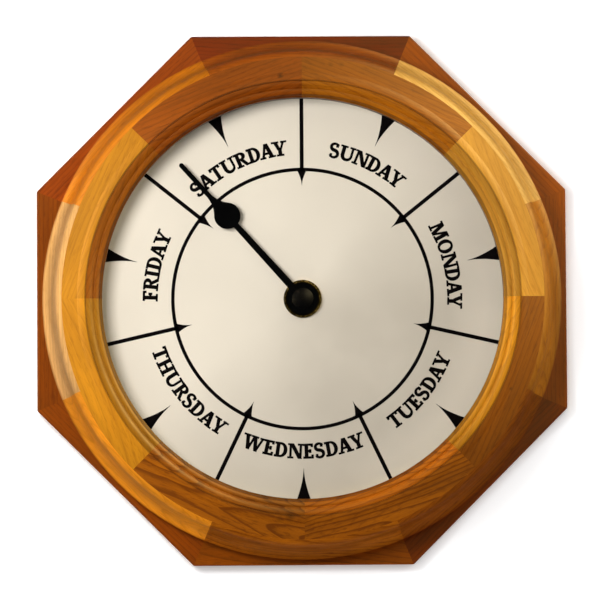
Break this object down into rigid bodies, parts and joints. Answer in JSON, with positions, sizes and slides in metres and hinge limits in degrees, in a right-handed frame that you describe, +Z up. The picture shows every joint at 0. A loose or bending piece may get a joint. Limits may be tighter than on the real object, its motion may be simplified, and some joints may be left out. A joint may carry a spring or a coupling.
{
  "type": "day of the week wall clock",
  "caption": "Octagonal wooden wall clock with a turned rim, whose hand points to the day of the week.",
  "frame": {"origin": "the hanging point: centre of the keyhole's round entry at the clock's back face, on the wall plane", "axes": "+Z up the wall, +Y into the wall, so the dial faces -Y; +X to the right of someone who reads the dial"},
  "size_m": [0.267, 0.038, 0.267],
  "materials": {
    "frame_wood": "satin clear varnish",
    "dial_face": "matt cream print on board",
    "clear_lens": "flat polished clear sheet",
    "black_plastic": "moulded, fine grain",
    "hand_black": "semi-gloss black lacquer",
    "brass": "bright turned",
    "rubber": "matt",
    "plated_steel": "zinc plated",
    "battery_sleeve": "printed sleeve, plain",
    "nickel": "nickel plated",
    "board_green": "solder resist",
    "white_plastic": "moulded natural acetal",
    "copper_wire": "enamelled copper, wound",
    "magnet_dark": "sintered magnet"
  },
  "bodies": {
    "clock_body": {"back_stave_1": "frame_wood", "back_stave_2": "frame_wood", "back_stave_3": "frame_wood", "back_stave_4": "frame_wood", "back_stave_5": "frame_wood", "back_stave_6": "frame_wood", "back_stave_7": "frame_wood", "back_stave_8": "frame_wood", "front_stave_1": "frame_wood", "front_stave_2": "frame_wood", "front_stave_3": "frame_wood", "front_stave_4": "frame_wood", "front_stave_5": "frame_wood", "front_stave_6": "frame_wood", "front_stave_7": "frame_wood", "front_stave_8": "frame_wood", "dial": "dial_face", "lens": "clear_lens", "lens_ring": "black_plastic", "dial_clips": "plated_steel", "clip_screws": "plated_steel", "rubber_washer": "rubber", "dial_washer": "brass", "dial_nut": "brass", "threaded_bushing": "brass", "front_case": "black_plastic", "rear_case": "black_plastic", "battery": "battery_sleeve", "positive_contact": "nickel", "negative_contact": "nickel", "circuit_board": "board_green", "quartz_crystal": "nickel", "clock_chip": "black_plastic", "stator": "plated_steel", "coil_core": "plated_steel", "coil_bobbin": "white_plastic", "coil_winding": "copper_wire"},
    "day_hand": {"hand": "hand_black", "hand_cap": "hand_black", "day_wheel": "white_plastic"},
    "setting": {"setting_arbor": "white_plastic", "setting_knob": "black_plastic", "clutch_spring": "plated_steel"},
    "clutch": {"clutch_wheel": "white_plastic"},
    "six_hour": {"six_hour_wheel": "white_plastic"},
    "minute": {"minute_wheel": "white_plastic"},
    "third": {"third_wheel": "white_plastic"},
    "seconds": {"seconds_wheel": "white_plastic"},
    "intermediate": {"intermediate_wheel": "white_plastic"},
    "rotor": {"rotor": "white_plastic", "rotor_magnet": "magnet_dark"}
  },
  "joints": [
    {"name": "hand_turn", "type": "hinge", "parent": "clock_body", "child": "day_hand", "pos_m": [0, -0.0175, -0.116], "axis": [0, 1, 0], "continuous": true},
    {"name": "knob_turn", "type": "hinge", "parent": "clock_body", "child": "setting", "pos_m": [0.00849, -0.0038, -0.10751], "axis": [0, 1, 0], "continuous": true},
    {"name": "seconds_turn", "type": "hinge", "parent": "clock_body", "child": "seconds", "pos_m": [-0.00007, -0.0102, -0.0975], "axis": [0, 1, 0], "continuous": true},
    {"name": "rotor_turn", "type": "hinge", "parent": "clock_body", "child": "rotor", "pos_m": [-0.01113, -0.0102, -0.10098], "axis": [0, 1, 0], "continuous": true},
    {"name": "intermediate_turn", "type": "hinge", "parent": "clock_body", "child": "intermediate", "pos_m": [-0.0058, -0.0102, -0.09904], "axis": [0, 1, 0], "continuous": true},
    {"name": "third_turn", "type": "hinge", "parent": "clock_body", "child": "third", "pos_m": [0.00679, -0.0102, -0.0969], "axis": [0, 1, 0], "continuous": true},
    {"name": "minute_turn", "type": "hinge", "parent": "clock_body", "child": "minute", "pos_m": [0.01462, -0.0102, -0.09718], "axis": [0, 1, 0], "continuous": true},
    {"name": "six_hour_turn", "type": "hinge", "parent": "clock_body", "child": "six_hour", "pos_m": [0.01679, -0.0102, -0.10529], "axis": [0, 1, 0], "continuous": true},
    {"name": "clutch_turn", "type": "hinge", "parent": "clock_body", "child": "clutch", "pos_m": [0.00849, -0.0118, -0.10751], "axis": [0, 1, 0], "continuous": true}
  ],
  "couplings": [
    {"joint": "knob_turn", "follows": "hand_turn", "ratio": -7},
    {"joint": "intermediate_turn", "follows": "seconds_turn", "ratio": -5},
    {"joint": "rotor_turn", "follows": "seconds_turn", "ratio": 30},
    {"joint": "third_turn", "follows": "seconds_turn", "ratio": -0.13333},
    {"joint": "minute_turn", "follows": "seconds_turn", "ratio": 0.016667},
    {"joint": "six_hour_turn", "follows": "seconds_turn", "ratio": -0.0027778},
    {"joint": "clutch_turn", "follows": "seconds_turn", "ratio": 0.00069444}
  ]
}
